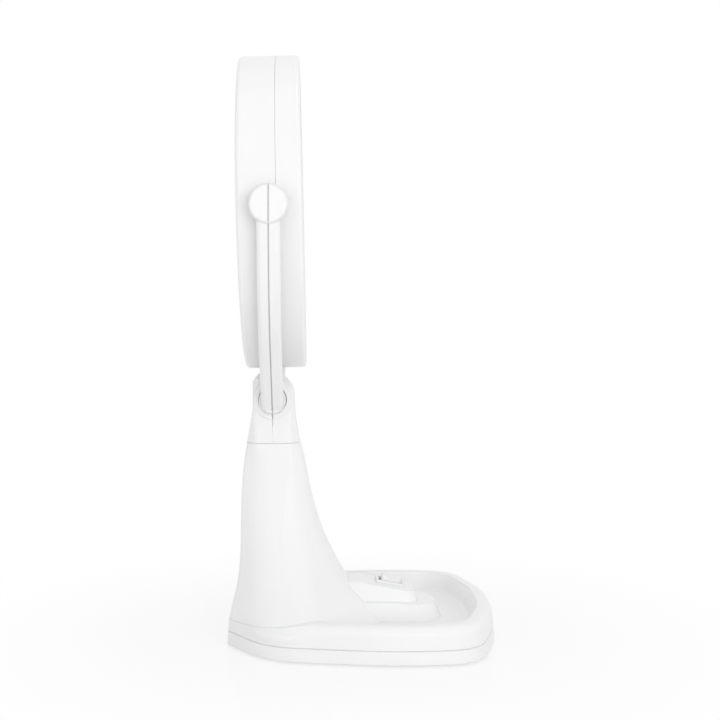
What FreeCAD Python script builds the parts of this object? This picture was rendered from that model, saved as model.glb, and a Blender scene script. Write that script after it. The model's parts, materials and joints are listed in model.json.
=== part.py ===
import FreeCAD, Part
import math
import os
import re

import Sketcher
from FreeCAD import Placement, Rotation, Vector

# Lighted double-sided makeup mirror: a round head in a folding yoke on a column with a tray base.
# Millimetres. +X is the user's side, +Z is up, and the origin is under the middle of the base.
SIZES = {
    # Yoke axes
    "hub_back": 63,
    "hub_height": 169,
    "hub_drop": 16.8,
    "arm_length": "=arm_inner_radius + hub_drop",
    # Shared allowances
    "overrun": 1,
    "running_clearance": 0.05,
    "seat_clearance": 0.2,
    "moving_clearance": 0.4,
    "seam_width": 0.6,
    "seam_depth": 0.5,
    "fine_seam_width": 0.3,
    "fine_seam_depth": 0.25,
    # Head
    "head_radius": 111.9,
    "head_depth": 43,
    "head_lean": 1.3,
    "head_seam": 4.5,
    "head_wall": 2.4,
    "rim_width": 8,
    "rim_depth": 2.5,
    "rim_round": 3,
    "mirror_inset": 28.5,
    "mirror_radius": "=head_radius - mirror_inset",
    "mirror_thickness": 3,
    "magnifier_radius": 900,
    "light_ring_thickness": 2.2,
    "carrier_thickness": 3,
    "carrier_wall": 2.5,
    "led_board_width": 9,
    "led_board_thickness": 1.6,
    "led_board_gap_angle": 18,
    "led_length": 3.5,
    "led_width": 2.8,
    "led_height": 0.8,
    "led_count": 24,
    "carrier_boss_radius": 3.5,
    "carrier_boss_inset": 9,
    "carrier_boss_place": "=head_radius - carrier_boss_inset",
    "carrier_boss_length": 12,
    "carrier_rib": 2,
    # Screws
    "screw_radius": 1.5,
    "screw_head_radius": 2.75,
    "screw_head_height": 2,
    "screw_length": 9,
    # Head pivots
    "stud_radius": 3.5,
    "stud_flange_radius": 6,
    "stud_flange_height": 3,
    "stud_flange_inset": 3,
    "stud_flange_place": "=arm_inner_radius + stud_flange_inset",
    "pivot_bush_radius": 7,
    "pivot_bush_inset": 17.5,
    "pivot_bush_start": "=head_radius - pivot_bush_inset",
    "pivot_nut_radius": 5.5,
    "pivot_nut_height": 4,
    "pivot_washer_height": 0.8,
    "pivot_spacer_radius": 8,
    "pivot_window": 16,
    # Arms
    "arm_gap": 4.5,
    "arm_inner_radius": "=head_radius + arm_gap",
    "arm_thickness": 10,
    "arm_width": 15.4,
    "hub_distance": "=sqrt(arm_length ^ 2 + hub_face ^ 2)",
    "arm_turn": "=atan2(arm_length; hub_face) - acos((arm_inner_radius + arm_thickness / 2) / hub_distance)",
    "arm_round": 3.4,
    "arm_wall": 1.8,
    "arm_sink": 2.5,
    "boss_radius": 12.8,
    "boss_step": 1,
    "boss_proud": 0.8,
    "boss_round": 1,
    "hub_radius": 9.6,
    "hub_face": 32,
    "arm_screw_angle": 40,
    "arm_screw_head": 1.2,
    "arm_post_radius": 2.2,
    "lead_radius": 0.8,
    # Hinge
    "hinge_half_width": 24,
    "hinge_rear": 18.4,
    "hinge_front": 18.7,
    "hinge_waist_rear": 14.2,
    "hinge_waist_height": 7,
    "hinge_top_chamfer": 2.6,
    "hinge_nose": 15,
    "hinge_seam_drop": 31,
    "hinge_corner": 6,
    "hinge_corner_round": 5,
    "hinge_split_end": 19,
    "hinge_ring_radius": 13.6,
    "hinge_ring_proud": 1.5,
    "hinge_socket_depth": 3,
    "axle_radius": 5,
    "axle_bore": 3,
    "axle_grip": 5,
    "bush_radius": 7.2,
    "bush_length": 14,
    "hinge_washer_height": 0.8,
    "spigot_depth": 10,
    "hinge_screw_drop": 19,
    "hinge_screw_spread": 14,
    # Base plan
    "base_back": 94,
    "base_fore": 94,
    "rear_half": 40,
    "shoulder_back": 66,
    "shoulder_inset": 12.5,
    "shoulder_half": "=waist_half - shoulder_inset",
    "waist_setback": 74,
    "waist_fore": "=base_fore - waist_setback",
    "waist_half": 94.5,
    "corner_setback": 17,
    "corner_fore": "=base_fore - corner_setback",
    "corner_inset": 6.5,
    "corner_half": "=waist_half - corner_inset",
    "front_half": 26,
    "rear_round": 4.8,
    "shoulder_round": 50,
    "waist_round": 200,
    "corner_round": 32,
    "front_round": 90,
    # Base heights
    "foot_height": 1,
    "cover_top": 10,
    "rim_height": 25,
    "rear_height": 17.5,
    "rear_slope_start": 36,
    "wall_draft": 1.6,
    "base_wall": 2.5,
    "rim_top_width": 12,
    "tray_draft": 6,
    "tray_floor": 13,
    "tray_back": 44,
    "tray_rear_round": 13,
    "tray_waist_round": 80,
    "tray_front_round": 27,
    "tray_floor_round": 5,
    "rim_outer_round": 6,
    # Column foot
    "foot_inset": 1.2,
    "foot_start": 12,
    "flank_back": 30,
    "nose_fore": 22,
    "nose_half": 18,
    # Switch ridge
    "ridge_slope": 10,
    "switch_fore": 21,
    "switch_top": 34.5,
    "ridge_back": 40,
    "ridge_fore": 37,
    "ridge_half": 15,
    "ridge_spread": 6,
    "ridge_round": 9,
    "lobe_fore": 52,
    "lobe_half": 23,
    "lobe_top": 25,
    "lobe_slope": 4,
    "lobe_spread": 6,
    "lobe_round": 18,
    "tier_edge_round": 2,
    # Rocker switch
    "bezel_length": 21,
    "bezel_width": 15,
    "bezel_height": 2,
    "switch_length": 19,
    "switch_width": 13,
    "switch_depth": 14,
    "switch_wall": 1.2,
    "rocker_length": 14,
    "rocker_width": 9.6,
    "rocker_rise": 3.4,
    "rocker_end_rise": 5,
    "rocker_tilt": 12,
    "rocker_pin_radius": 1.2,
    "rocker_round": 0.8,
    "terminal_width": 4.8,
    "terminal_thickness": 0.8,
    "terminal_length": 7,
    "terminal_pitch": 6,
    # Bottom cover, ballast and feet
    "cover_floor": 2.5,
    "cover_post_radius": 3.4,
    "ballast_height": 5,
    "ballast_length": 80,
    "ballast_half": 60,
    "ballast_fore": 68,
    "foot_radius": 8,
    "foot_sink": 0.8,
    "foot_front_place": 66,
    "foot_front_half": 58,
    "foot_rear_place": 72,
    "foot_rear_half": 36,
    "cover_screw_front": 30,
    "cover_screw_inset": 9,
    "cover_screw_rear_inset": 5.7,
    "cover_post_top": 14,
    # Electrics in the base
    "board_length": 44,
    "board_width": 50,
    "board_thickness": 1.6,
    "board_back": 74,
    "board_height": 9,
    "driver_length": 18,
    "driver_width": 16,
    "driver_height": 14,
    "capacitor_radius": 5,
    "capacitor_height": 16,
    "inlet_height": 15.4,
    "inlet_radius": 3.6,
    "inlet_flange": 4.6,
    "inlet_flange_height": 1,
    "inlet_length": 15,
    "inlet_bore": 2.75,
    "inlet_bore_depth": 10,
    "inlet_pin": 1,
    "inlet_back": 92.2,
}

doc = FreeCAD.newDocument("makeup_mirror")
size = doc.addObject("Spreadsheet::Sheet", "size")
for row, name in enumerate(SIZES, start=1):
    size.set(f"A{row}", name)
    size.setAlias(f"B{row}", name)
for row, length in enumerate(SIZES.values(), start=1):
    size.set(f"B{row}", str(length))
doc.recompute()

nodes = []


def formula(text):
    """Point each size name in a formula at its cell."""
    return re.sub(r"[a-z]\w+", lambda word: f"size.{word[0]}" if word[0] in SIZES else word[0], text)


def number(text):
    return float(size.evalExpression(formula(text)))


def keep(piece, place=Placement()):
    """Hand a finished piece in as a node, at its place in the mirror."""
    piece.Placement = place.multiply(piece.Placement)
    nodes.append(piece)
    return piece


# Sketches and features

AXES = {"X": ("XY_Plane", "H_Axis"), "Y": ("YZ_Plane", "H_Axis"), "Z": ("XZ_Plane", "V_Axis")}


def new_sketch(body, role, name):
    plane = next(feature for feature in body.Origin.OriginFeatures if feature.Role == role)
    sketch = body.newObject("Sketcher::SketchObject", name)
    sketch.AttachmentSupport = (plane, [""])
    sketch.MapMode = "FlatFace"
    return sketch


def bind(sketch, constraint, text):
    index = sketch.addConstraint(constraint)
    sketch.setExpression(f"Constraints[{index}]", formula(text))


def arc_between(start, end, radius):
    """The short arc from start to end: a positive radius has its centre on the left."""
    chord = end - start
    left = Vector(-chord.y, chord.x, 0).normalize()
    height = math.sqrt(radius * radius - chord.Length * chord.Length / 4)
    side = math.copysign(1, radius)
    centre = (start + end) / 2 + left * height * side
    return Part.Arc(start, centre - left * abs(radius) * side, end)


def add_outline(sketch, corners):
    """Draw a closed outline. A corner is two formulas, and a third makes the edge after it an arc."""
    points = [Vector(number(corner[0]), number(corner[1]), 0) for corner in corners]
    ends = []
    for index, corner in enumerate(corners):
        start = points[index]
        end = points[(index + 1) % len(points)]
        if len(corner) == 2:
            sketch.addGeometry(Part.LineSegment(start, end))
            ends.append((1, 2))
            continue
        radius = number(corner[2])
        sketch.addGeometry(arc_between(start, end, radius))
        ends.append((1, 2) if radius > 0 else (2, 1))
    for index, corner in enumerate(corners):
        after = (index + 1) % len(corners)
        sketch.addConstraint(Sketcher.Constraint("Coincident", index, ends[index][1], after, ends[after][0]))
        point = points[index]
        start = ends[index][0]
        bind(sketch, Sketcher.Constraint("DistanceX", -1, 1, index, start, point.x), corner[0])
        bind(sketch, Sketcher.Constraint("DistanceY", -1, 1, index, start, point.y), corner[1])
        if len(corner) == 3:
            radius = number(corner[2])
            bind(sketch, Sketcher.Constraint("Radius", index, abs(radius)), f"abs({corner[2]})")


def turned(label, axis, corners):
    """Turn a profile of (along the axis, radius) corners about an axis through the origin."""
    body = doc.addObject("PartDesign::Body", label)
    body.Label = label
    plane, line = AXES[axis]
    sketch = new_sketch(body, plane, f"{label}_profile")
    add_outline(sketch, corners if axis != "Z" else [swapped(corner) for corner in corners])
    turn = body.newObject("PartDesign::Revolution", f"{label}_turn")
    turn.Profile = sketch
    turn.ReferenceAxis = (sketch, [line])
    turn.Angle = 360
    return body


def swapped(corner):
    """A profile corner with its axes exchanged, so that an arc's centre changes side."""
    if len(corner) == 2:
        return corner[1], corner[0]
    return corner[1], corner[0], f"-({corner[2]})"


def rod(label, axis, radius, start, end, bore="0"):
    return turned(label, axis, [(start, bore), (end, bore), (end, radius), (start, radius)])


def padded(label, role, corners, length, middle=False):
    body = doc.addObject("PartDesign::Body", label)
    body.Label = label
    sketch = new_sketch(body, role, f"{label}_outline")
    add_outline(sketch, corners)
    pad = body.newObject("PartDesign::Pad", f"{label}_pad")
    pad.Profile = sketch
    pad.setExpression("Length", formula(length))
    pad.Midplane = middle
    return body


def block(label, low, high):
    box = doc.addObject("Part::Box", label)
    for side, axis, start, end in zip(("Length", "Width", "Height"), "xyz", low, high):
        box.setExpression(side, formula(f"({end}) - ({start})"))
        box.setExpression(f".Placement.Base.{axis}", formula(start))
    return box


def joined(label, pieces):
    union = doc.addObject("Part::MultiFuse", label)
    union.Shapes = pieces
    return union


def cut(label, base, tools):
    result = doc.addObject("Part::Cut", label)
    result.Base = base
    result.Tool = tools[0] if len(tools) == 1 else joined(f"{label}_tools", tools)
    return result


def common(label, first, second):
    result = doc.addObject("Part::Common", label)
    result.Base = first
    result.Tool = second
    return result


def solid(label, shape):
    piece = doc.addObject("Part::Feature", label)
    piece.Shape = shape
    return piece


def placed(shape, place):
    shape.Placement = place.multiply(shape.Placement)
    return shape


def copies(label, master, places):
    """One node with a separate solid of the master at each place."""
    doc.recompute()
    return solid(label, Part.makeCompound([placed(master.Shape.copy(), place) for place in places]))


def moved(x=0, y=0, z=0, axis=Vector(0, 0, 1), angle=0):
    return Placement(Vector(x, y, z), Rotation(axis, angle))


def around(axis, angles, place):
    """A place turned to each angle about an axis through the origin."""
    return [Placement(Vector(), Rotation(axis, angle)).multiply(place) for angle in angles]


BOTH_SIDES = (0, 180)
X_AXIS = Vector(1, 0, 0)
Y_AXIS = Vector(0, 1, 0)
Z_AXIS = Vector(0, 0, 1)
at_hub = moved(-size.hub_back, 0, size.hub_height)
at_pivot = moved(-size.hub_back, 0, size.hub_height + size.arm_length, Y_AXIS, -size.head_lean)


def screw(label, axis, head="screw_head_height"):
    """A pan head screw along an axis: its head's underside is at zero and its point is ahead."""
    return turned(label, axis, [
        (f"-{head}", "0"),
        ("screw_length", "0"),
        ("screw_length", "screw_radius"),
        ("0", "screw_radius"),
        ("0", "screw_head_radius"),
        (f"-{head}", "screw_head_radius"),
    ])


# Head, drawn about its own centre with its axis along X

FACE = "head_depth / 2 - rim_depth"
SHELL_RADIUS = "head_radius - head_wall"


def housing(label, front):
    """A bezel shell: side wall, rounded outer edge and a rim turned in over the light ring."""
    sign = "" if front else "-"
    seam = "head_seam"
    lip = "head_seam + fine_seam_width" if front else "head_seam"
    bend = "-rim_round" if front else "rim_round"
    edge = f"{sign}(head_depth / 2)"
    inside = f"{sign}({FACE})"
    deep = "head_radius - fine_seam_depth"
    groove = [(seam, deep), (lip, deep)] if front else []
    return turned(label, "X", groove + [
        (lip, "head_radius"),
        (f"{sign}(head_depth / 2 - rim_round)", "head_radius", bend),
        (edge, "head_radius - rim_round"),
        (edge, "head_radius - rim_width"),
        (inside, "head_radius - rim_width"),
        (inside, SHELL_RADIUS),
        (seam, SHELL_RADIUS),
    ])


def front_housing():
    shell = housing("front_housing_shell", True)
    spigot = rod("front_housing_spigot", "X", f"{SHELL_RADIUS} - seat_clearance",
                 "carrier_thickness / 2 + seat_clearance", "head_seam + head_wall",
                 f"{SHELL_RADIUS} - seat_clearance - head_wall / 2")
    link = rod("front_housing_link", "X", f"{SHELL_RADIUS} + overrun / 2", "head_seam + seat_clearance",
               "head_seam + head_wall", f"{SHELL_RADIUS} - seat_clearance - head_wall / 2")
    gap = rod("front_housing_gap", "Y", "pivot_bush_radius + moving_clearance", "-head_radius", "head_radius")
    tongue = cut("front_housing_tongue", joined("front_housing_ring", [spigot, link]), [gap])
    keep(joined("head_front_housing", [shell, tongue]), at_pivot)


def carrier_angles():
    return [45 + 90 * quarter for quarter in range(4)]


def rear_housing():
    shell = housing("rear_housing_shell", False)
    boss_end = "-carrier_thickness / 2"
    boss_start = "-carrier_thickness / 2 - carrier_boss_length"
    boss = rod("rear_housing_boss", "X", "carrier_boss_radius", boss_start, boss_end)
    rib = block("rear_housing_rib", (boss_start, "-carrier_rib / 2", "0"),
                (boss_end, "carrier_rib / 2", f"{SHELL_RADIUS} - carrier_boss_place + head_wall / 2"))
    post = joined("rear_housing_post", [boss, rib])
    spots = around(X_AXIS, carrier_angles(), moved(0, 0, size.carrier_boss_place))
    posts = copies("rear_housing_posts", post, spots)
    pilot = rod("rear_housing_pilot", "X", "screw_radius + running_clearance",
                "-screw_length - carrier_thickness / 2", "overrun")
    pilots = copies("rear_housing_pilots", pilot, spots)
    stud_hole = rod("rear_housing_stud_hole", "Y", "stud_radius + moving_clearance",
                    "-head_radius - overrun", "head_radius + overrun")
    whole = joined("rear_housing_whole", [shell, posts])
    keep(cut("head_rear_housing", whole, [pilots, stud_hole]), at_pivot)


DISH = "(magnifier_radius - sqrt(magnifier_radius ^ 2 - mirror_radius ^ 2))"


def bowl(label, radius):
    """A ball about the point that the magnifying mirror is curved round, behind the head."""
    ball = doc.addObject("Part::Sphere", label)
    ball.setExpression("Radius", formula(radius))
    ball.Placement = moved(number(f"{DISH} - ({FACE}) - magnifier_radius"), 0, 0, Z_AXIS, 180)
    return ball


def mirrors():
    back = f"{FACE} - mirror_thickness"
    keep(rod("front_mirror", "X", "mirror_radius", back, FACE), at_pivot)
    blank = rod("magnifier_blank", "X", "mirror_radius", f"-({FACE})", f"-({back}) + {DISH}")
    dished = common("magnifier_dished", blank, bowl("magnifier_back", "magnifier_radius + mirror_thickness"))
    keep(cut("rear_magnifying_mirror", dished, [bowl("magnifier_front", "magnifier_radius")]), at_pivot)


def light_rings():
    inner = "mirror_radius + seat_clearance"
    outer = f"{SHELL_RADIUS} - seat_clearance"
    behind = f"{FACE} - light_ring_thickness"
    keep(rod("front_light_ring", "X", outer, behind, FACE, inner), at_pivot)
    keep(rod("rear_light_ring", "X", outer, f"-({FACE})", f"-({behind})", inner), at_pivot)


def carrier():
    """The inner frame: a web plate, a wall that carries both mirrors, and the two pivot bushings."""
    reach = f"{FACE} - mirror_thickness"
    wall_outer = "mirror_radius - light_ring_thickness"
    web = rod("carrier_web", "X", f"{SHELL_RADIUS} - seat_clearance", "-carrier_thickness / 2",
              "carrier_thickness / 2")
    wall = rod("carrier_rim", "X", wall_outer, f"-({reach})", reach, f"{wall_outer} - carrier_wall")
    bush = rod("carrier_bush", "Y", "pivot_bush_radius", "pivot_bush_start",
               f"{SHELL_RADIUS} - seat_clearance - running_clearance")
    bushes = copies("carrier_bushes", bush, around(Z_AXIS, BOTH_SIDES, Placement()))
    bore = rod("carrier_bore", "Y", "stud_radius + running_clearance", "-head_radius", "head_radius")
    low = ("-head_depth / 2", "pivot_bush_start - pivot_nut_height * 2", "-pivot_window / 2")
    window = block("carrier_window", low, ("head_depth / 2", "pivot_bush_start", "pivot_window / 2"))
    windows = copies("carrier_windows", window, around(Z_AXIS, BOTH_SIDES, Placement()))
    hole = rod("carrier_screw_hole", "X", "screw_radius + seat_clearance",
               "-carrier_thickness", "carrier_thickness")
    places = around(X_AXIS, carrier_angles(), moved(0, 0, size.carrier_boss_place))
    holes = copies("carrier_screw_holes", hole, places)
    bored = cut("carrier_bored", joined("carrier_whole", [web, bushes]), [bore, windows, holes])
    seat = bowl("carrier_seat", "magnifier_radius + mirror_thickness + running_clearance")
    keep(cut("head_carrier_frame", joined("carrier_walled", [bored, wall]), [seat]), at_pivot)
    fixing = screw("carrier_screw", "X")
    spots = around(X_AXIS, carrier_angles(), moved(size.carrier_thickness / 2, 0, size.carrier_boss_place,
                                                   Z_AXIS, 180))
    keep(copies("carrier_screws", fixing, spots), at_pivot)


def led_rings():
    """Two half-ring boards on each face of the web, with a row of chips on each."""
    inner = size.mirror_radius + size.seat_clearance
    middle = inner + size.led_board_width / 2
    gap = size.led_board_gap_angle
    web = size.carrier_thickness / 2
    for name, turn in (("front", 0), ("rear", 180)):
        outer = inner + size.led_board_width
        halves = []
        for start in (gap / 2 - 90, gap / 2 + 90):
            blank = Part.makeCylinder(outer, size.led_board_thickness, Vector(), Z_AXIS, 180 - gap)
            eye = Part.makeCylinder(inner, size.led_board_thickness, Vector(), Z_AXIS, 360)
            board = blank.cut(eye)
            stand = Rotation(X_AXIS, start).multiply(Rotation(Y_AXIS, 90))
            board.Placement = Placement(Vector(web, 0, 0), stand)
            halves.append(board)
        flip = Placement(Vector(), Rotation(Z_AXIS, turn))
        keep(solid(f"{name}_led_boards", Part.makeCompound(halves)), at_pivot.multiply(flip))
        chip = block(f"{name}_led_chip", ("0", "-led_length / 2", "-led_width / 2"),
                     ("led_height", "led_length / 2", "led_width / 2"))
        step = (180 - 2 * gap) / (size.led_count / 2 - 1)
        half_row = [gap - 90 + step * index + 90 for index in range(size.led_count // 2)]
        angles = [angle - 90 for angle in half_row] + [angle + 90 for angle in half_row]
        row_place = moved(web + size.led_board_thickness, 0, middle)
        keep(copies(f"{name}_leds", chip, around(X_AXIS, angles, row_place)), at_pivot.multiply(flip))


# Yoke, drawn about the hub axis with its arms rising along Z

OUTER_RADIUS = "(arm_inner_radius + arm_thickness)"


def arm_outline(inset, start, top):
    """One arm seen from the front: an arc round the head, then a straight run in to the hub."""
    inner = f"(arm_inner_radius + {inset})"
    outer = f"({OUTER_RADIUS} - {inset})"
    edge = {}
    for name, radius in (("inner", inner), ("outer", outer)):
        run = f"({radius} * cos(arm_turn) - ({start})) / sin(arm_turn)"
        foot = f"arm_length - {radius} * sin(arm_turn) - {run} * cos(arm_turn)"
        edge[name] = {
            "foot": (start, foot),
            "bend": (f"{radius} * cos(arm_turn)", f"arm_length - {radius} * sin(arm_turn)"),
            "top": (f"sqrt({radius} ^ 2 - ({top}) ^ 2)", f"arm_length - ({top})"),
        }
    return [
        edge["outer"]["foot"],
        (*edge["outer"]["bend"], outer),
        edge["outer"]["top"],
        (*edge["inner"]["top"], f"-{inner}"),
        edge["inner"]["bend"],
        edge["inner"]["foot"],
    ]


BOSS_FACE = f"{OUTER_RADIUS} + boss_proud"
BOSS_BACK = "(arm_inner_radius + boss_step)"
SOCKET_FLOOR = "(hinge_half_width + hinge_ring_proud - hinge_socket_depth)"
HUB_BACK = f"{SOCKET_FLOOR} + hinge_washer_height + moving_clearance"
AXLE_END = f"({HUB_BACK} + axle_grip)"


def arm_blank():
    """The outside of one arm: bar, pivot boss and hub disc."""
    bar = padded("arm_bar", "YZ_Plane", arm_outline("0", "hub_face - arm_sink", "0"), "arm_width", True)
    doc.recompute()
    sides = [f"Edge{index}" for index, edge in enumerate(bar.Shape.Edges, start=1)
             if edge.BoundBox.XLength < size.running_clearance and edge.Length > 2 * size.arm_thickness]
    pad = bar.Tip
    rounding = bar.newObject("PartDesign::Fillet", "arm_bar_round")
    rounding.Base = (pad, sides)
    rounding.setExpression("Radius", formula("arm_round"))
    boss = turned("arm_boss", "Y", [
        (BOSS_BACK, "0"),
        (BOSS_FACE, "0"),
        (BOSS_FACE, "boss_radius - boss_round", "-boss_round"),
        (f"{BOSS_FACE} - boss_round", "boss_radius"),
        (BOSS_BACK, "boss_radius"),
    ])
    boss.Placement = moved(0, 0, size.arm_length)
    hub = turned("arm_hub", "Y", [
        (HUB_BACK, "0"),
        ("hub_face", "0"),
        ("hub_face", "hub_radius - boss_round", "-boss_round"),
        ("hub_face - boss_round", "hub_radius"),
        (HUB_BACK, "hub_radius"),
    ])
    return joined("arm_outside", [bar, boss, hub])


def arm_post_place():
    """The screw post's middle, against the arm's inner wall at an angle below the pivot, in Y and Z."""
    radius = size.arm_inner_radius + size.arm_wall / 2 + size.arm_post_radius
    angle = math.radians(size.arm_screw_angle)
    return radius * math.cos(angle), size.arm_length - radius * math.sin(angle)


def arm_seam():
    """The groove where the arm's shells meet, round the bar and across the boss and hub faces."""
    outside = arm_outline("-overrun", "hub_face", "boss_radius")
    rind = padded("arm_seam_outer", "YZ_Plane", outside, "seam_width", True)
    inside = arm_outline("seam_depth", "hub_face - overrun", "boss_radius - overrun")
    core = padded("arm_seam_inner", "YZ_Plane", inside, "seam_width * 2", True)
    half = "seam_width / 2"
    boss_flat = "(boss_radius - boss_round - seam_depth)"
    boss = block("boss_seam", (f"-{half}", f"{BOSS_FACE} - seam_depth", f"arm_length - {boss_flat}"),
                 (half, f"{BOSS_FACE} + overrun", f"arm_length + {boss_flat}"))
    hub_flat = "(hub_radius - boss_round - seam_depth)"
    hub = block("hub_seam", (f"-{half}", "hub_face - seam_depth", f"-{hub_flat}"),
                (half, "hub_face + overrun", hub_flat))
    return [cut("arm_seam", rind, [core]), boss, hub]


def arms():
    inside = arm_outline("arm_wall", "hub_face + arm_wall", "boss_radius + arm_wall")
    core = padded("arm_core", "YZ_Plane", inside, "arm_width - 2 * arm_wall", True)
    across, up = arm_post_place()
    post = rod("arm_post", "X", "arm_post_radius", "-arm_width / 2 + arm_wall", "arm_width / 2 - arm_wall")
    post.Placement = moved(0, across, up)
    hollow = cut("arm_hollow", core, [post])
    stud_hole = turned("arm_stud_hole", "Y", [
        ("arm_inner_radius - arm_thickness / 2", "0"),
        ("stud_flange_place + stud_flange_height + running_clearance", "0"),
        ("stud_flange_place + stud_flange_height + running_clearance", "stud_flange_radius + running_clearance"),
        ("stud_flange_place - running_clearance", "stud_flange_radius + running_clearance"),
        ("stud_flange_place - running_clearance", "stud_radius + running_clearance"),
        (BOSS_BACK, "stud_radius + running_clearance"),
        (BOSS_BACK, "pivot_spacer_radius + seat_clearance"),
        ("arm_inner_radius - arm_thickness / 2", "pivot_spacer_radius + seat_clearance"),
    ])
    stud_hole.Placement = moved(0, 0, size.arm_length)
    axle_hole = rod("arm_axle_hole", "Y", "axle_radius + running_clearance",
                    "0", f"{AXLE_END} + running_clearance")
    pilot = turned("arm_screw_hole", "X", [
        ("-arm_width", "0"),
        ("screw_length - arm_width / 2 + arm_wall + overrun", "0"),
        ("screw_length - arm_width / 2 + arm_wall + overrun", "screw_radius + running_clearance"),
        ("-arm_width / 2 + arm_screw_head", "screw_radius + running_clearance"),
        ("-arm_width / 2 + arm_screw_head", "screw_head_radius + running_clearance"),
        ("-arm_width", "screw_head_radius + running_clearance"),
    ])
    pilot.Placement = moved(0, across, up)
    whole = cut("arm_whole", arm_blank(), [hollow, stud_hole, axle_hole, pilot, *arm_seam()])
    reach = ("arm_inner_radius * 2", "arm_length * 2")
    front = block("arm_front_space", ("0", "0", "-arm_length"), ("arm_width", *reach))
    rear = block("arm_rear_space", ("-arm_width", "0", "-arm_length"), ("0", *reach))
    for name, space in (("front", front), ("rear", rear)):
        right = keep(common(f"right_arm_{name}_shell", whole, space), at_hub)
        left = doc.addObject("Part::Mirroring", f"left_arm_{name}_shell")
        left.Source = right
        left.Normal = Y_AXIS
        keep(left)
    fixing = screw("arm_screw", "X", "arm_screw_head")
    head_seat = size.arm_screw_head - size.arm_width / 2
    keep(copies("arm_screws", fixing, [moved(head_seat, side * across, up) for side in (1, -1)]), at_hub)


def arm_leads():
    """The supply lead inside each arm, lying along the outer wall from hub to pivot."""
    radius = size.arm_inner_radius + size.arm_thickness - size.arm_wall - size.lead_radius - size.seat_clearance
    low = math.radians(number("arm_turn"))
    high = math.asin((size.boss_radius + 2 * size.arm_wall) / radius)

    def on_arc(angle):
        return Vector(0, radius * math.cos(angle), size.arm_length - radius * math.sin(angle))

    bend = on_arc(low)
    run = (bend.y - size.hub_face - 2 * size.arm_wall - 2 * size.lead_radius) / math.sin(low)
    foot = bend - Vector(0, math.sin(low), math.cos(low)) * run
    arc = Part.Arc(bend, on_arc((low + high) / 2), on_arc(high))
    edges = [Part.LineSegment(foot, bend).toShape(), arc.toShape()]
    section = Part.Wire(Part.Circle(foot, bend - foot, size.lead_radius).toShape())
    lead = Part.Wire(edges).makePipeShell([section], True, False)
    keep(solid("arm_leads", Part.makeCompound([lead, lead.mirror(Vector(), Y_AXIS)])), at_hub)


def pivots():
    inner_end = "(pivot_bush_start - pivot_washer_height - pivot_nut_height - overrun)"
    stud = turned("pivot_stud", "Y", [
        (inner_end, "0"),
        ("stud_flange_place + stud_flange_height", "0"),
        ("stud_flange_place + stud_flange_height", "stud_flange_radius"),
        ("stud_flange_place", "stud_flange_radius"),
        ("stud_flange_place", "stud_radius"),
        (inner_end, "stud_radius"),
    ])
    bore = "stud_radius + running_clearance"
    spacer = rod("pivot_spacer", "Y", "pivot_spacer_radius", "head_radius + moving_clearance",
                 f"{BOSS_BACK} - running_clearance", bore)
    washer = rod("pivot_washer", "Y", "pivot_nut_radius",
                 "pivot_bush_start - pivot_washer_height - running_clearance",
                 "pivot_bush_start - running_clearance", bore)
    nut = rod("pivot_nut", "Y", "pivot_nut_radius",
              "pivot_bush_start - pivot_washer_height - pivot_nut_height - 2 * running_clearance",
              "pivot_bush_start - pivot_washer_height - 2 * running_clearance", bore)
    sides = around(Z_AXIS, BOTH_SIDES, Placement())
    at_studs = at_hub.multiply(moved(0, 0, size.arm_length))
    for label, master in (("pivot_studs", stud), ("pivot_spacers", spacer), ("pivot_spring_washers", washer),
                          ("pivot_nuts", nut)):
        keep(copies(label, master, sides), at_studs)


def axle():
    keep(rod("hinge_axle", "Y", "axle_radius", f"-{AXLE_END}", AXLE_END, "axle_bore"), at_hub)


# Plan outlines of the base, as rounded polygons

def mirrored(half):
    return half + [(x, -y) for x, y in reversed(half)]


def inset(corners, distance):
    """Move every side of a convex polygon inwards."""
    count = len(corners)
    centre_x = sum(x for x, y in corners) / count
    sides = []
    for index, (x, y) in enumerate(corners):
        next_x, next_y = corners[(index + 1) % count]
        run = math.hypot(next_x - x, next_y - y)
        normal = (-(next_y - y) / run, (next_x - x) / run)
        if normal[0] * (centre_x - x) - normal[1] * y < 0:
            normal = (-normal[0], -normal[1])
        sides.append((normal, normal[0] * x + normal[1] * y + distance))
    moved_corners = []
    for index in range(count):
        (a, b), c = sides[index - 1]
        (d, e), f = sides[index]
        spread = a * e - b * d
        moved_corners.append(((c * e - b * f) / spread, (a * f - c * d) / spread))
    return moved_corners


def rounded_wire(corners, radii, height):
    """A polygon at a height with each corner turned by a tangent arc."""
    edges = []
    count = len(corners)
    tangents = []
    for index, (x, y) in enumerate(corners):
        corner = Vector(x, y, height)
        before = (Vector(*corners[index - 1], height) - corner).normalize()
        after = (Vector(*corners[(index + 1) % count], height) - corner).normalize()
        half = before.getAngle(after) / 2
        reach = radii[index] / math.tan(half)
        bisector = (before + after).normalize()
        middle = corner + bisector * (radii[index] / math.sin(half) - radii[index])
        tangents.append((corner + before * reach, middle, corner + after * reach))
    for index, (start, middle, end) in enumerate(tangents):
        edges.append(Part.Arc(start, middle, end).toShape())
        edges.append(Part.LineSegment(end, tangents[(index + 1) % count][0]).toShape())
    return Part.Wire(edges)


def section(half, radii, height, distance=0):
    radii = [radius - distance for radius in radii]
    return rounded_wire(inset(mirrored(half), distance), radii + radii[::-1], height)


def loft(sections, ruled=True):
    return Part.makeLoft(sections, True, ruled)


BASE_HALF = [
    (-size.base_back, size.rear_half),
    (-size.shoulder_back, size.shoulder_half),
    (size.waist_fore, size.waist_half),
    (size.corner_fore, size.corner_half),
    (size.base_fore, size.front_half),
]
BASE_RADII = [size.rear_round, size.shoulder_round, size.waist_round, size.corner_round, size.front_round]


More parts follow.
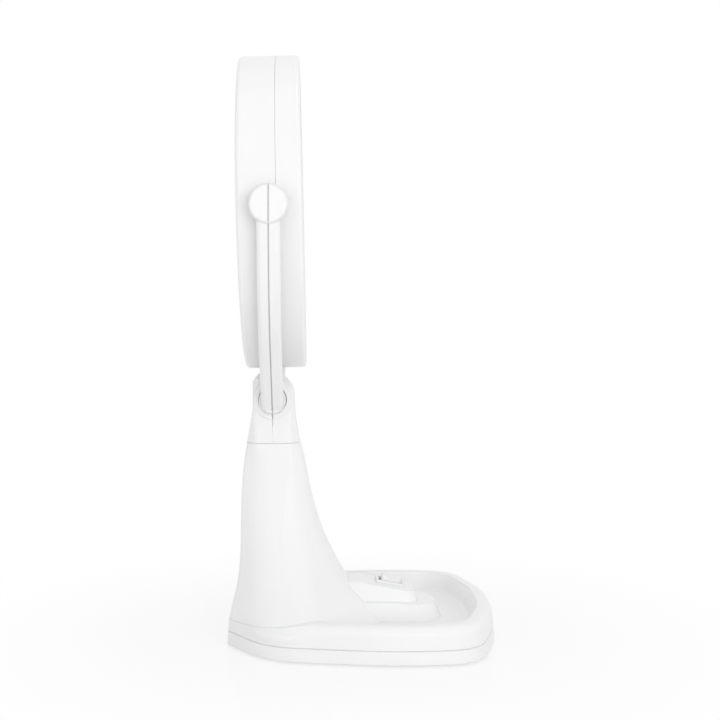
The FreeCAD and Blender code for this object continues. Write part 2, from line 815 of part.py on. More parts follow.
def side_half(x):
    """The plan's half width at a place between its shoulder and its front corner."""
    for (low_x, low_y), (high_x, high_y) in zip(BASE_HALF[1:], BASE_HALF[2:]):
        if x <= high_x:
            return low_y + (high_y - low_y) * (x - low_x) / (high_x - low_x)


def shoulder_spot(distance):
    """A place inside the plan's rounded shoulder, at a distance from its edge."""
    corner = Vector(*BASE_HALF[1])
    before = (Vector(*BASE_HALF[0]) - corner).normalize()
    after = (Vector(*BASE_HALF[2]) - corner).normalize()
    reach = size.shoulder_round / math.sin(before.getAngle(after) / 2) - size.shoulder_round + distance
    spot = corner + (before + after).normalize() * reach
    return spot.x, spot.y


def plinth(low, high, distance=0):
    """The base's drafted outside between two heights, moved in by a distance."""
    sections = [section(BASE_HALF, BASE_RADII, height, distance + size.wall_draft * height / size.rim_height)
                for height in (low, high)]
    return loft(sections)


def above_rear(distance=0):
    """The space over the base's rear, where its top edge slopes down to the back."""
    run = size.base_back - size.rear_slope_start
    slope = math.degrees(math.atan((size.rim_height - size.rear_height) / run))
    space = Part.makeBox(size.base_back * 2, size.base_back * 4, size.base_back)
    space.translate(Vector(-size.base_back * 2, -size.base_back * 2, -distance))
    return placed(space, moved(-size.rear_slope_start, 0, size.rim_height, Y_AXIS, -slope))


def tray_space(floor, grow=0, turn=0):
    """The tray's hollow, from its floor to above the rim, with a rounded floor edge if asked for."""
    depth = size.rim_height - size.tray_floor
    sections = []
    for height in (floor, size.rim_height + size.overrun):
        lean = size.tray_draft * (size.rim_height - height) / depth
        half = [(-size.tray_back, side_half(-size.tray_back)), *BASE_HALF[2:]]
        corners = inset(mirrored(half), size.rim_top_width + lean - grow)
        radii = [size.tray_rear_round, size.tray_waist_round, size.tray_front_round, size.front_round]
        radii = [radius + grow - lean for radius in radii]
        sections.append(rounded_wire(corners, radii + radii[::-1], height))
    space = loft(sections)
    sole = [edge for edge in space.Edges
            if max(abs(vertex.Z - floor) for vertex in edge.Vertexes) < size.running_clearance]
    return space.makeFillet(turn, sole) if turn else space


# Column, from the foot inside the rim up to the seam under the hinge head

# Height, front reach, rear reach and half width, as shares from the foot (0) to the seam (1)
COLUMN_SHARES = [
    (0.0, 0.0, 0.0, 0.0),
    (0.05, 0.14, 0.025, 0.02),
    (0.12, 0.32, 0.17, 0.2),
    (0.25, 0.52, 0.48, 0.54),
    (0.45, 0.72, 0.62, 0.80),
    (0.72, 0.88, 0.68, 0.95),
    (1.0, 1.0, 1.0, 1.0),
]

# How much of the shorter side next to it each corner's rounding takes: rear, shoulder, flank and nose
TURN_SHARES = [0.1, 0.54, 0.4, 0.3]

SEAM_HEIGHT = size.hub_height - size.hinge_seam_drop
HINGE_HALF = [
    (-size.hub_back - size.hinge_rear, size.hinge_half_width - size.hinge_corner),
    (-size.hub_back - size.hinge_rear + size.hinge_corner, size.hinge_half_width),
    (-size.hub_back + size.hinge_front - size.hinge_corner, size.hinge_half_width),
    (-size.hub_back + size.hinge_front, size.hinge_half_width - size.hinge_corner),
]
HINGE_RADII = [size.hinge_corner_round] * 4


def between(low, high, share):
    return low + (high - low) * share


def turn_radii(half):
    """The radius of each corner of a column section, from the sides that meet there."""
    corners = [Vector(x, y) for x, y in mirrored(half)]
    radii = []
    for index, share in enumerate(TURN_SHARES):
        before = corners[index - 1] - corners[index]
        after = corners[index + 1] - corners[index]
        reach = share * min(before.Length, after.Length)
        radii.append(reach * math.tan(before.getAngle(after) / 2))
    return radii


def column(distance=0, rise=0):
    """The flared column, moved in by a distance, with its top raised for a cut."""
    foot = inset(mirrored(BASE_HALF), size.foot_inset)[:2]
    foot.append((-size.flank_back, side_half(-size.flank_back) - size.foot_inset))
    foot.append((size.nose_fore, size.nose_half))
    sections = []
    for up, fore, aft, wide in COLUMN_SHARES:
        shares = [(aft, wide), ((aft + fore) / 2, wide), (fore, wide), (fore, wide)]
        half = [(between(low[0], high[0], along), between(low[1], high[1], across))
                for low, high, (along, across) in zip(foot, HINGE_HALF, shares)]
        radii = turn_radii(half) if up < 1 else HINGE_RADII
        height = between(size.foot_start, SEAM_HEIGHT, up)
        if up == 1:
            height += rise
        sections.append(section(half, radii, height, distance))
    return loft(sections, False)


def ridge(half_width, fore, top, slope, spread, rounding, distance=0):
    """A tier of the switch ridge: a drafted prism under a top with soft edges that slopes to the user."""
    low = size.cover_top
    rise = top + size.ridge_back * math.sin(math.radians(slope)) - size.tray_floor
    sections = []
    for height, widen in ((low, spread), (low + rise, 0)):
        half = [(-size.ridge_back, half_width + widen), (fore + widen, half_width + widen)]
        sections.append(section(half, [rounding / 2, rounding], height, distance))
    tier = loft(sections)
    lid = Part.makeBox(size.base_back * 2, size.base_back * 2, size.base_back)
    lid.translate(Vector(-size.base_back, -size.base_back, 0))
    lid.Placement = Placement(Vector(size.switch_fore, 0, top - distance),
                              Rotation(Y_AXIS, slope)).multiply(lid.Placement)
    tier = tier.cut(lid)
    cap = max(tier.Faces, key=lambda face: face.CenterOfMass.z)
    return tier if distance else tier.makeFillet(size.tier_edge_round, cap.Edges)


def upper_tier(distance=0):
    return ridge(size.ridge_half, size.ridge_fore, size.switch_top, size.ridge_slope, size.ridge_spread,
                 size.ridge_round, distance)


def lower_tier(distance=0):
    return ridge(size.lobe_half, size.lobe_fore, size.lobe_top, size.lobe_slope, size.lobe_spread,
                 size.lobe_round, distance)


def at_switch(height=0, angle=0):
    """A place on the ridge's sloping top, in the middle of the switch."""
    tilt = Placement(Vector(size.switch_fore, 0, size.switch_top), Rotation(Y_AXIS, size.ridge_slope))
    return tilt.multiply(moved(0, 0, height, Y_AXIS, angle))


def box_about(length, width, low, high):
    box = Part.makeBox(length, width, high - low)
    box.translate(Vector(-length / 2, -width / 2, low))
    return box


def cover_screw_spots():
    """Each cover screw's place, and the top of the post that it goes into."""
    front_half = side_half(size.cover_screw_front) - size.cover_screw_inset
    spots = [
        (size.cover_screw_front, front_half, size.rim_height - size.base_wall / 2),
        (*shoulder_spot(size.cover_screw_rear_inset), size.cover_post_top),
    ]
    return [(x, side * y, top) for x, y, top in spots for side in (1, -1)]


def base_housing():
    """One moulding: tray with its rounded rim, switch ridge and flared column, hollow underneath."""
    dip = tray_space(size.tray_floor, turn=size.tray_floor_round)
    tray = plinth(size.cover_top, size.rim_height).cut(dip)
    rim = [edge for edge in tray.Edges
           if all(abs(vertex.Z - size.rim_height) < size.running_clearance for vertex in edge.Vertexes)]
    outer_length = max(abs(edge.BoundBox.YMax) for edge in rim) - size.rim_top_width / 2
    outer = [edge for edge in rim if max(edge.BoundBox.YMax, -edge.BoundBox.YMin) > outer_length
             or edge.BoundBox.XMin < -size.tray_back
             or edge.BoundBox.XMax > size.base_fore - size.rim_top_width / 2]
    tray = tray.makeFillet(size.rim_outer_round, outer)
    tray = tray.cut(above_rear())
    outside = tray.fuse([column(), upper_tier(), lower_tier()])
    wall = size.base_wall
    under = plinth(size.cover_top - size.overrun, size.rim_height - wall, wall)
    under = under.cut([tray_space(size.tray_floor - wall, wall), above_rear(wall)])
    shaft = column(wall, size.overrun)
    window = placed(box_about(size.switch_length + size.seat_clearance, size.switch_width + size.seat_clearance,
                              -size.switch_depth, size.bezel_height), at_switch())
    inlet = Part.makeCylinder(size.inlet_radius + size.seat_clearance, size.inlet_length,
                              Vector(-size.inlet_back, 0, size.inlet_height), X_AXIS)
    seat = Vector(-size.inlet_back + size.inlet_flange_height, 0, size.inlet_height)
    recess = Part.makeCylinder(size.inlet_flange + size.seat_clearance, size.inlet_length, seat, -X_AXIS)
    moulding = outside.cut([under, shaft, upper_tier(wall), lower_tier(wall), window, inlet, recess])
    posts = []
    for x, y, top in cover_screw_spots():
        post = Part.makeCylinder(size.cover_post_radius, top - size.cover_top, Vector(x, y, size.cover_top))
        hole = Part.makeCylinder(size.screw_radius + size.running_clearance, size.screw_length,
                                 Vector(x, y, size.cover_top - size.overrun))
        posts.append((post, hole))
    moulding = moulding.fuse([post for post, hole in posts]).cut([hole for post, hole in posts])
    keep(solid("base_housing", moulding.removeSplitter()))


def bottom_cover():
    low = size.foot_height
    floor = low + size.cover_floor
    pan = plinth(low, size.cover_top).cut(plinth(floor, size.cover_top + size.overrun, size.base_wall))
    holes = []
    posts = []
    for x, y, top in cover_screw_spots():
        posts.append(Part.makeCylinder(size.cover_post_radius, size.cover_top - low, Vector(x, y, low)))
        radius = size.screw_radius + size.seat_clearance
        holes.append(Part.makeCylinder(radius, size.cover_top, Vector(x, y, 0)))
        holes.append(Part.makeCylinder(size.screw_head_radius + size.seat_clearance,
                                       low + size.screw_head_height + size.seat_clearance, Vector(x, y, 0)))
    for x, y in foot_spots():
        radius = size.foot_radius + size.seat_clearance
        holes.append(Part.makeCylinder(radius, low + size.foot_sink, Vector(x, y, 0)))
    for x, y in board_spots():
        posts.append(Part.makeCylinder(size.cover_post_radius, size.board_height - low, Vector(x, y, low)))
    edge = (size.cover_top - size.fine_seam_width, size.cover_top)
    holes.append(plinth(*edge, -size.overrun).cut(plinth(*edge, size.fine_seam_depth)))
    keep(solid("base_bottom_cover", pan.fuse(posts).cut(holes).removeSplitter()))


def foot_spots():
    ends = [(size.foot_front_place, size.foot_front_half), (-size.foot_rear_place, size.foot_rear_half)]
    return [(x, side * y) for x, y in ends for side in (1, -1)]


def board_spots():
    edge = size.cover_post_radius
    return [(-size.board_back + along, across)
            for along in (edge, size.board_length - edge)
            for across in (edge - size.board_width / 2, size.board_width / 2 - edge)]


def base_fittings():
    foot = rod("rubber_foot", "Z", "foot_radius", "0", "foot_height + foot_sink")
    keep(copies("rubber_feet", foot, [moved(x, y) for x, y in foot_spots()]))
    fixing = screw("cover_screw", "Z")
    seat = size.foot_height + size.screw_head_height + size.seat_clearance
    keep(copies("cover_screws", fixing, [moved(x, y, seat) for x, y, top in cover_screw_spots()]))
    floor = "foot_height + cover_floor"
    keep(block("ballast_plate", ("ballast_fore - ballast_length", "-ballast_half", floor),
               ("ballast_fore", "ballast_half", f"{floor} + ballast_height")))


def electrics():
    top = "board_height + board_thickness"
    keep(block("driver_board", ("-board_back", "-board_width / 2", "board_height"),
               ("board_length - board_back", "board_width / 2", top)))
    coil = block("driver_coil", ("-board_back + board_length / 2", "-driver_width", top),
                 ("-board_back + board_length / 2 + driver_length", "0", f"{top} + driver_height"))
    can = rod("driver_capacitor", "Z", "capacitor_radius", top, f"{top} + capacitor_height")
    can.Placement = moved(-size.board_back + size.board_length / 2,
                          size.board_width / 2 - 2 * size.capacitor_radius)
    doc.recompute()
    keep(solid("driver_components", Part.makeCompound([coil.Shape, can.Shape])))
    inlet = turned("power_inlet", "X", [
        ("0", "inlet_bore"),
        ("0", "inlet_flange"),
        ("inlet_flange_height", "inlet_flange"),
        ("inlet_flange_height", "inlet_radius"),
        ("inlet_length", "inlet_radius"),
        ("inlet_length", "0"),
        ("inlet_bore", "0"),
        ("inlet_bore", "inlet_pin"),
        ("inlet_bore_depth", "inlet_pin"),
        ("inlet_bore_depth", "inlet_bore"),
    ])
    keep(inlet, moved(-size.inlet_back, 0, size.inlet_height))


# Hinge head, drawn about the hub axis

def hinge_head():
    rear = "-hinge_rear"
    profile = padded("hinge_profile", "XZ_Plane", [
        (f"{rear}", "-hinge_seam_drop"),
        ("hinge_front", "-hinge_seam_drop"),
        ("hinge_nose + overrun", "-hinge_seam_drop / 2"),
        ("hinge_nose", "0", "hinge_nose"),
        ("0", "hinge_nose"),
        ("-hinge_waist_rear + hinge_top_chamfer", "hinge_nose"),
        ("-hinge_waist_rear", "hinge_nose - hinge_top_chamfer"),
        ("-hinge_waist_rear", "-hinge_waist_height"),
    ], "2 * hinge_half_width + 2 * overrun", True)
    prism = loft([section(HINGE_HALF, HINGE_RADII, height) for height in (SEAM_HEIGHT, size.hub_height * 2)])
    plan = solid("hinge_plan", placed(prism, at_hub.inverse()))
    body = common("hinge_body", profile, plan)
    ring = rod("hinge_ring", "Y", "hinge_ring_radius", "-hinge_half_width - hinge_ring_proud",
               "hinge_half_width + hinge_ring_proud")
    gap = size.base_wall + size.seat_clearance
    spigot = loft([section(HINGE_HALF, HINGE_RADII, height, gap)
                   for height in (SEAM_HEIGHT - size.spigot_depth, SEAM_HEIGHT + size.spigot_depth / 2)])
    bore = rod("hinge_bore", "Y", "bush_radius", "-hinge_half_width * 2", "hinge_half_width * 2")
    socket = rod("hinge_socket", "Y", "hub_radius + moving_clearance", SOCKET_FLOOR, "hinge_half_width * 2")
    sockets = copies("hinge_sockets", socket, around(Z_AXIS, BOTH_SIDES, Placement()))
    plug = solid("hinge_spigot", placed(spigot, at_hub.inverse()))
    pilot = turned("hinge_screw_hole", "X", [
        ("-hinge_rear * 2", "0"),
        ("screw_length + overrun", "0"),
        ("screw_length + overrun", "screw_radius + running_clearance"),
        ("0", "screw_radius + running_clearance"),
        ("0", "screw_head_radius + running_clearance"),
        ("-hinge_rear * 2", "screw_head_radius + running_clearance"),
    ])
    spots = [moved(-size.screw_length / 2, side * size.hinge_screw_spread, -size.hinge_screw_drop)
             for side in (1, -1)]
    pilots = copies("hinge_screw_holes", pilot, spots)
    edge = (SEAM_HEIGHT, SEAM_HEIGHT + size.fine_seam_width)
    rind = loft([section(HINGE_HALF, HINGE_RADII, height, -size.overrun) for height in edge])
    core = loft([section(HINGE_HALF, HINGE_RADII, height, size.fine_seam_depth) for height in edge])
    seam = solid("hinge_seam", placed(rind.cut(core), at_hub.inverse()))
    split = block("hinge_split", ("-seam_width / 2", "-hinge_half_width * 2", "-hinge_split_end"),
                  ("seam_width / 2", "hinge_half_width * 2", "-hub_radius"))
    inside = block("hinge_split_core", ("-seam_width", "seam_depth - hinge_half_width", "-hub_height"),
                   ("seam_width", "hinge_half_width - seam_depth", "hub_height"))
    whole = cut("hinge_whole", joined("hinge_outside", [body, ring, plug]),
                [bore, sockets, pilots, seam, cut("hinge_split_seam", split, [inside])])
    reach = ("hinge_half_width * 2", "hub_height")
    front = block("hinge_front_space", ("0", "-hinge_half_width * 2", "-hub_height"), ("hub_back", *reach))
    rear_space = block("hinge_rear_space", ("-hub_back", "-hinge_half_width * 2", "-hub_height"), ("0", *reach))
    keep(common("hinge_head_front", whole, front), at_hub)
    keep(common("hinge_head_rear", whole, rear_space), at_hub)
    fixing = screw("hinge_screw", "X")
    keep(copies("hinge_head_screws", fixing, spots), at_hub)
    bush = rod("hinge_bush", "Y", "bush_radius - running_clearance",
               f"{SOCKET_FLOOR} - bush_length", SOCKET_FLOOR, "axle_radius + running_clearance")
    sides = around(Z_AXIS, BOTH_SIDES, Placement())
    keep(copies("hinge_bushes", bush, sides), at_hub)
    washer = rod("hinge_washer", "Y", "hub_radius", SOCKET_FLOOR, f"{SOCKET_FLOOR} + hinge_washer_height",
                 "axle_radius + running_clearance")
    keep(copies("hinge_friction_washers", washer, sides), at_hub)


# Rocker switch on the ridge

def switch():
    wall = size.switch_wall
    bezel = box_about(size.bezel_length, size.bezel_width, 0, size.bezel_height)
    case = box_about(size.switch_length, size.switch_width, -size.switch_depth, size.bezel_height)
    well = box_about(size.switch_length - 2 * wall, size.switch_width - 2 * wall,
                     -size.switch_depth + wall, size.bezel_height + size.overrun)
    pin_room = size.switch_width - wall
    pins = Part.makeCylinder(size.rocker_pin_radius + size.running_clearance, pin_room,
                             Vector(0, -pin_room / 2, 0), Y_AXIS)
    keep(solid("rocker_switch_housing", bezel.fuse(case).cut([well, pins]).removeSplitter()), at_switch())
    half = size.rocker_length / 2
    profile = [
        Vector(-half, 0, 0),
        Vector(-half, 0, size.rocker_end_rise),
        Vector(0, 0, size.rocker_rise),
        Vector(half, 0, size.rocker_end_rise),
        Vector(half, 0, 0),
        Vector(0, 0, -size.rocker_rise),
    ]
    button = Part.Face(Part.makePolygon(profile + profile[:1])).extrude(Vector(0, size.rocker_width, 0))
    button.translate(Vector(0, -size.rocker_width / 2, 0))
    upright = [edge for edge in button.Edges
               if edge.BoundBox.YLength > size.rocker_width / 2 and abs(edge.BoundBox.ZMin) > size.rocker_round
               and abs(edge.BoundBox.XMin) > size.rocker_round]
    button = button.makeFillet(size.rocker_round, upright)
    pin_length = pin_room - 2 * size.seat_clearance
    pin = Part.makeCylinder(size.rocker_pin_radius, pin_length, Vector(0, -pin_length / 2, 0), Y_AXIS)
    keep(solid("rocker_button", button.fuse(pin)), at_switch(0, size.rocker_tilt))
    blade = box_about(size.terminal_thickness, size.terminal_width, -size.switch_depth - size.terminal_length,
                      -size.switch_depth)
    blades = []
    for step in (-1, 0, 1):
        blades.append(blade.translated(Vector(step * size.terminal_pitch, 0, 0)))
    keep(solid("switch_terminals", Part.makeCompound(blades)), at_switch())


front_housing()
rear_housing()
mirrors()
light_rings()
carrier()
led_rings()
arms()
arm_leads()
pivots()
axle()
base_housing()
bottom_cover()
base_fittings()
electrics()
hinge_head()
switch()

doc.recompute()
failed = [piece.Label for piece in doc.Objects if "Invalid" in piece.State or "Error" in piece.State]
failed += [piece.Label for piece in nodes if piece.Shape.isNull() or not piece.Shape.isValid()]
if failed:
    raise RuntimeError("failed pieces: " + ", ".join(failed))

os.makedirs("parts", exist_ok=True)
for piece in nodes:
    piece.Shape.exportStep(f"parts/{piece.Label}.step")
    print(piece.Label, len(piece.Shape.Solids), round(piece.Shape.Volume))
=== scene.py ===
import json
import math

import bpy
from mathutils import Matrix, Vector


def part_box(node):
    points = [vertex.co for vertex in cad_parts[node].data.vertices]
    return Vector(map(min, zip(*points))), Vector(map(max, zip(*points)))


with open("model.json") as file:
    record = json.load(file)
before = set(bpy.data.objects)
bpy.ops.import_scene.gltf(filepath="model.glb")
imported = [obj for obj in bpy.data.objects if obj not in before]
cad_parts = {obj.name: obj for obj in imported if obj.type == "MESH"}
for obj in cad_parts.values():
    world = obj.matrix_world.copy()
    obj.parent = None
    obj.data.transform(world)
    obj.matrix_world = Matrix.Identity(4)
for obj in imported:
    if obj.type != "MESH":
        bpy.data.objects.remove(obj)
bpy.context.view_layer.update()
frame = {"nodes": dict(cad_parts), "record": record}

# Camera: a level view along +Y with the picture's frame shifted off the lens axis
IMAGE_PIXELS = 720
LENS_AXIS_PIXEL = (310.0, 275.0)
CAMERA_DISTANCE = 0.977
CAMERA_ACROSS = -0.0366
CAMERA_HEIGHT = 0.257
FOCAL_PIXELS = 1350.0
SENSOR_WIDTH = 36.0
CLIP_START = 0.01

# Floor, with its fade by distance from the object's middle
WHITE = (1.0, 1.0, 1.0, 1.0)
FLOOR_HALF_WIDTH = 6.0
FLOOR_GAP = 0.0002
FLOOR_COLOUR = (0.9, 0.9, 0.9, 1.0)
FLOOR_ROUGHNESS = 0.08
FLOOR_FADE_FROM = 0.1
FLOOR_FADE_TO = 0.34
FLOOR_WHITE_NEAR = 0.7
FLOOR_WHITE_FAR = 1.0

# Light: name, place, aim and power of each square lamp
WORLD_STRENGTH = 0.76
LAMP_SIZE = 1.2
LOW_AIM = (0.0, 0.0, 0.1)
MIDDLE_AIM = (0.0, 0.0, 0.2)
LAMPS = [
    ("key", (0.5, -1.9, 0.3), LOW_AIM, 12.2),
    ("side", (-1.3, -1.5, 0.3), LOW_AIM, 3.9),
    ("fill", (1.7, -0.9, 0.8), MIDDLE_AIM, 3.0),
    ("top", (0.1, 0.0, 2.0), MIDDLE_AIM, 3.7),
]

# Noise, in cells per metre, and the fine grain
NOISE_DETAIL = 4.0
NOISE_ROUGHNESS = 0.55
PATCH_SCALE = 30.0
PATCH_DETAIL = 3.0
GLOSS_TO_PATCH = 4
GRAIN_SCALE = 900.0
GRAIN_DETAIL = 2.0
GRAIN_RELIEF = 0.05
GRAIN_DEPTH = 0.0002

# Softened edges of the white plastic
EDGE_SAMPLES = 6
SOFT_EDGE = 0.0014
FINE_EDGE = 0.0004
WHITE_TINTS = ((0.855, 0.855, 0.86), (0.88, 0.88, 0.883))
WHITE_GLOSS = (0.26, 0.36)
FINE_SEAMED = (
    "head_front_housing", "head_rear_housing", "base_bottom_cover", "hinge_head_front", "hinge_head_rear",
)

# Power inlet
INLET_SOCKET_RADIUS = 0.0029
INLET_EDGE = 0.0002
INLET_TINTS = ((0.02, 0.02, 0.021), (0.83, 0.83, 0.835))
INLET_GLOSS = (0.3, 0.45)
INLET_GLOSS_SCALE = 90.0


# Node materials

def new_material(name):
    material = bpy.data.materials.new(name)
    material.use_nodes = True
    tree = material.node_tree
    return material, tree, tree.nodes["Principled BSDF"]


def noise(tree, scale, detail=NOISE_DETAIL):
    """Fractal noise over the object's own coordinates, with a scale in cells per metre."""
    place = tree.nodes.new("ShaderNodeTexCoord")
    node = tree.nodes.new("ShaderNodeTexNoise")
    node.inputs["Scale"].default_value = scale
    node.inputs["Detail"].default_value = detail
    node.inputs["Roughness"].default_value = NOISE_ROUGHNESS
    tree.links.new(place.outputs["Object"], node.inputs["Vector"])
    return node.outputs["Fac"]


def ramp(tree, source, low, high):
    """Map noise to a range of values."""
    node = tree.nodes.new("ShaderNodeMapRange")
    node.inputs["To Min"].default_value = low
    node.inputs["To Max"].default_value = high
    tree.links.new(source, node.inputs["Value"])
    return node.outputs["Result"]


def tints(tree, source, dark, light):
    """Blend two colours by a noise or a mask."""
    node = tree.nodes.new("ShaderNodeMix")
    node.data_type = "RGBA"
    node.inputs["A"].default_value = (*dark, 1.0)
    node.inputs["B"].default_value = (*light, 1.0)
    tree.links.new(source, node.inputs["Factor"])
    return node.outputs["Result"]


def bump(tree, shader, source, relief=GRAIN_RELIEF, edge=0.0):
    """Raise a fine grain, over edges that are softened by a small radius."""
    node = tree.nodes.new("ShaderNodeBump")
    node.inputs["Strength"].default_value = relief
    node.inputs["Distance"].default_value = GRAIN_DEPTH
    tree.links.new(source, node.inputs["Height"])
    if edge:
        soft = tree.nodes.new("ShaderNodeBevel")
        soft.samples = EDGE_SAMPLES
        soft.inputs["Radius"].default_value = edge
        tree.links.new(soft.outputs["Normal"], node.inputs["Normal"])
    tree.links.new(node.outputs["Normal"], shader.inputs["Normal"])


def finish(name, dark, light, rough, patch=PATCH_SCALE, grain=GRAIN_SCALE, relief=GRAIN_RELIEF,
           metal=0.0, edge=0.0):
    """A moulded or metal finish: patchy colour and gloss, and a fine grain."""
    material, tree, shader = new_material(name)
    broad = noise(tree, patch, PATCH_DETAIL)
    tree.links.new(tints(tree, broad, dark, light), shader.inputs["Base Color"])
    tree.links.new(ramp(tree, noise(tree, patch * GLOSS_TO_PATCH), *rough), shader.inputs["Roughness"])
    shader.inputs["Metallic"].default_value = metal
    bump(tree, shader, noise(tree, grain, GRAIN_DETAIL), relief, edge)
    return material


WHITE_PLASTIC = finish("white_plastic", *WHITE_TINTS, WHITE_GLOSS, edge=SOFT_EDGE)
WHITE_SHELL = finish("white_shell", *WHITE_TINTS, WHITE_GLOSS, edge=FINE_EDGE)
INNER_PLASTIC = finish("inner_plastic", (0.62, 0.62, 0.6), (0.7, 0.7, 0.68), (0.45, 0.6))
FROSTED = finish("frosted_ring", (0.8, 0.8, 0.79), (0.86, 0.86, 0.85), (0.42, 0.52),
                 grain=2500.0, relief=0.25)
MIRROR = finish("mirror_glass", (0.86, 0.87, 0.88), (0.9, 0.91, 0.92), (0.015, 0.03), relief=0.0, metal=1.0)
STEEL = finish("zinc_steel", (0.42, 0.42, 0.44), (0.6, 0.6, 0.62), (0.25, 0.4), patch=120.0, metal=1.0)
BRASS = finish("tinned_brass", (0.5, 0.42, 0.28), (0.66, 0.56, 0.38), (0.25, 0.4), patch=120.0, metal=1.0)
IRON = finish("ballast_iron", (0.05, 0.05, 0.052), (0.1, 0.1, 0.1), (0.55, 0.75), patch=80.0, relief=0.5)
RUBBER = finish("foot_rubber", (0.5, 0.5, 0.5), (0.58, 0.58, 0.58), (0.6, 0.75), patch=90.0, relief=0.3)
BOARD = finish("circuit_board", (0.68, 0.7, 0.67), (0.75, 0.76, 0.74), (0.35, 0.5), patch=200.0)
LED = finish("led_phosphor", (0.8, 0.7, 0.3), (0.88, 0.8, 0.42), (0.25, 0.4), patch=400.0)
BLACK = finish("black_plastic", (0.015, 0.015, 0.016), (0.03, 0.03, 0.032), (0.35, 0.5), patch=90.0)
JACKET = finish("lead_jacket", (0.6, 0.6, 0.6), (0.7, 0.7, 0.7), (0.45, 0.6), patch=120.0)

SLOT_MATERIALS = {
    "white_gloss": WHITE_PLASTIC,
    "mirror_glass": MIRROR,
    "frosted_ring": FROSTED,
    "inner_plastic": INNER_PLASTIC,
    "steel": STEEL,
    "brass": BRASS,
    "cast_iron": IRON,
    "rubber": RUBBER,
    "circuit_board": BOARD,
    "led": LED,
    "black_plastic": BLACK,
    "lead_jacket": JACKET,
}


def vector_step(tree, operation, source, other=None):
    """One step of vector arithmetic on a place, with a fixed second vector where it needs one."""
    node = tree.nodes.new("ShaderNodeVectorMath")
    node.operation = operation
    tree.links.new(source, node.inputs[0])
    if other is not None:
        node.inputs[1].default_value = other
    return node


def inlet_material():
    """The power inlet: white outside, with a dark socket round its axis."""
    low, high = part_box("power_inlet")
    middle = (Vector(low) + Vector(high)) / 2
    material, tree, shader = new_material("inlet_plastic")
    place = tree.nodes.new("ShaderNodeTexCoord")
    from_middle = vector_step(tree, "SUBTRACT", place.outputs["Object"], middle)
    across = vector_step(tree, "MULTIPLY", from_middle.outputs["Vector"], (0.0, 1.0, 1.0))
    reach = vector_step(tree, "LENGTH", across.outputs["Vector"])
    outside = tree.nodes.new("ShaderNodeMapRange")
    outside.inputs["From Min"].default_value = INLET_SOCKET_RADIUS
    outside.inputs["From Max"].default_value = INLET_SOCKET_RADIUS + INLET_EDGE
    tree.links.new(reach.outputs["Value"], outside.inputs["Value"])
    tree.links.new(tints(tree, outside.outputs["Result"], *INLET_TINTS), shader.inputs["Base Color"])
    tree.links.new(ramp(tree, noise(tree, INLET_GLOSS_SCALE), *INLET_GLOSS), shader.inputs["Roughness"])
    bump(tree, shader, noise(tree, GRAIN_SCALE, GRAIN_DETAIL))
    return material


def dress_nodes():
    """Give every carried-over node the finish of its slot, with finer edges on the thin-seamed shells."""
    slots = {row["node"]: row["material_slot"] for row in frame["record"]["subparts"]}
    own = {name: WHITE_SHELL for name in FINE_SEAMED}
    own["power_inlet"] = inlet_material()
    for name, piece in frame["nodes"].items():
        for slot in piece.material_slots:
            slot.material = own.get(name, SLOT_MATERIALS[slots[name]])


# Stage, light and camera

def seen_rays(tree):
    """One for rays that show a surface to the camera, straight on or in a reflection, and zero for light."""
    path = tree.nodes.new("ShaderNodeLightPath")
    seen = path.outputs["Is Camera Ray"]
    for ray in ("Is Glossy Ray", "Is Transmission Ray"):
        either = tree.nodes.new("ShaderNodeMath")
        either.operation = "MAXIMUM"
        tree.links.new(seen, either.inputs[0])
        tree.links.new(path.outputs[ray], either.inputs[1])
        seen = either.outputs[0]
    return seen


def floor_material():
    """A glossy pale floor near the object that fades into plain white further out."""
    material, tree, shader = new_material("floor_white")
    shader.inputs["Base Color"].default_value = FLOOR_COLOUR
    shader.inputs["Roughness"].default_value = FLOOR_ROUGHNESS
    white = tree.nodes.new("ShaderNodeEmission")
    white.inputs["Strength"].default_value = 1.0
    place = tree.nodes.new("ShaderNodeTexCoord")
    reach = vector_step(tree, "LENGTH", place.outputs["Object"])
    near = tree.nodes.new("ShaderNodeMapRange")
    near.interpolation_type = "SMOOTHSTEP"
    near.inputs["From Min"].default_value = FLOOR_FADE_FROM
    near.inputs["From Max"].default_value = FLOOR_FADE_TO
    near.inputs["To Min"].default_value = FLOOR_WHITE_NEAR
    near.inputs["To Max"].default_value = FLOOR_WHITE_FAR
    tree.links.new(reach.outputs["Value"], near.inputs["Value"])
    share = tree.nodes.new("ShaderNodeMath")
    share.operation = "MULTIPLY"
    tree.links.new(near.outputs["Result"], share.inputs[0])
    tree.links.new(seen_rays(tree), share.inputs[1])
    mix = tree.nodes.new("ShaderNodeMixShader")
    tree.links.new(share.outputs["Value"], mix.inputs["Fac"])
    tree.links.new(shader.outputs["BSDF"], mix.inputs[1])
    tree.links.new(white.outputs["Emission"], mix.inputs[2])
    tree.links.new(mix.outputs["Shader"], tree.nodes["Material Output"].inputs["Surface"])
    return material


def add_floor():
    half = FLOOR_HALF_WIDTH
    corners = [(x, y, -FLOOR_GAP) for x, y in ((-half, -half), (half, -half), (half, half), (-half, half))]
    mesh = bpy.data.meshes.new("floor")
    mesh.from_pydata(corners, [], [(0, 1, 2, 3)])
    floor = bpy.data.objects.new("floor", mesh)
    bpy.context.collection.objects.link(floor)
    floor.data.materials.append(floor_material())


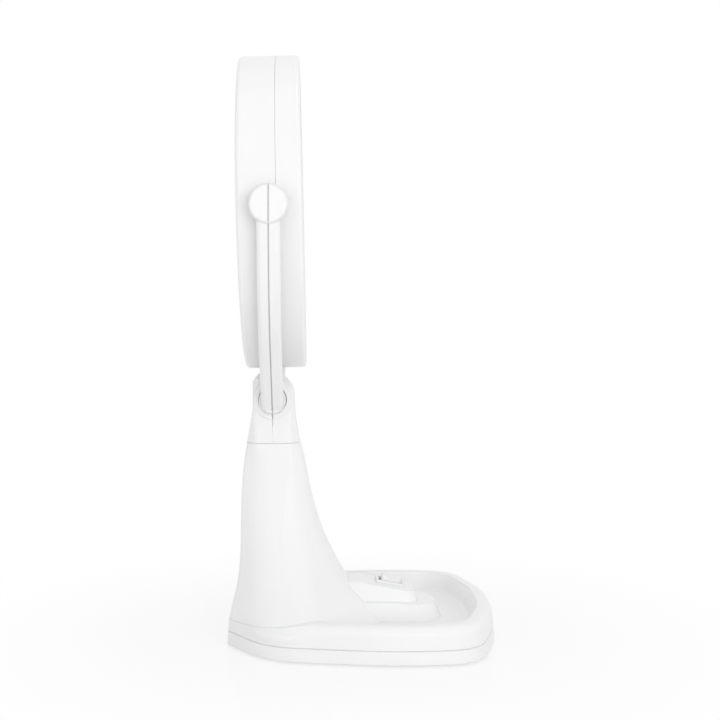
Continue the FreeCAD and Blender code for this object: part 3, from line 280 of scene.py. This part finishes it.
def add_world():
    """Even light on the object, and plain white where the surroundings are seen."""
    world = bpy.data.worlds.new("studio")
    bpy.context.scene.world = world
    world.use_nodes = True
    tree = world.node_tree
    light = tree.nodes["Background"]
    light.inputs["Color"].default_value = WHITE
    light.inputs["Strength"].default_value = WORLD_STRENGTH
    white = tree.nodes.new("ShaderNodeBackground")
    white.inputs["Color"].default_value = WHITE
    white.inputs["Strength"].default_value = 1.0
    mix = tree.nodes.new("ShaderNodeMixShader")
    tree.links.new(seen_rays(tree), mix.inputs["Fac"])
    tree.links.new(light.outputs["Background"], mix.inputs[1])
    tree.links.new(white.outputs["Background"], mix.inputs[2])
    tree.links.new(mix.outputs["Shader"], tree.nodes["World Output"].inputs["Surface"])


def add_lamp(name, place, aim, power):
    """A square lamp that lights the object but is itself seen neither directly nor in reflections."""
    lamp = bpy.data.lights.new(name, "AREA")
    lamp.shape = "SQUARE"
    lamp.size = LAMP_SIZE
    lamp.energy = power
    piece = bpy.data.objects.new(name, lamp)
    bpy.context.collection.objects.link(piece)
    piece.visible_camera = False
    piece.visible_glossy = False
    piece.location = place
    piece.rotation_euler = (Vector(aim) - Vector(place)).to_track_quat("-Z", "Y").to_euler()


def add_camera():
    lens = bpy.data.cameras.new("camera")
    lens.sensor_width = SENSOR_WIDTH
    lens.sensor_fit = "HORIZONTAL"
    lens.lens = SENSOR_WIDTH * FOCAL_PIXELS / IMAGE_PIXELS
    lens.shift_x = 0.5 - LENS_AXIS_PIXEL[0] / IMAGE_PIXELS
    lens.shift_y = LENS_AXIS_PIXEL[1] / IMAGE_PIXELS - 0.5
    lens.clip_start = CLIP_START
    camera = bpy.data.objects.new("camera", lens)
    bpy.context.collection.objects.link(camera)
    camera.location = (CAMERA_ACROSS, -CAMERA_DISTANCE, CAMERA_HEIGHT)
    camera.rotation_euler = (math.pi / 2, 0.0, 0.0)
    bpy.context.scene.camera = camera


dress_nodes()
add_floor()
add_world()
for lamp_row in LAMPS:
    add_lamp(*lamp_row)
add_camera()
bpy.context.scene.view_settings.view_transform = "Standard"
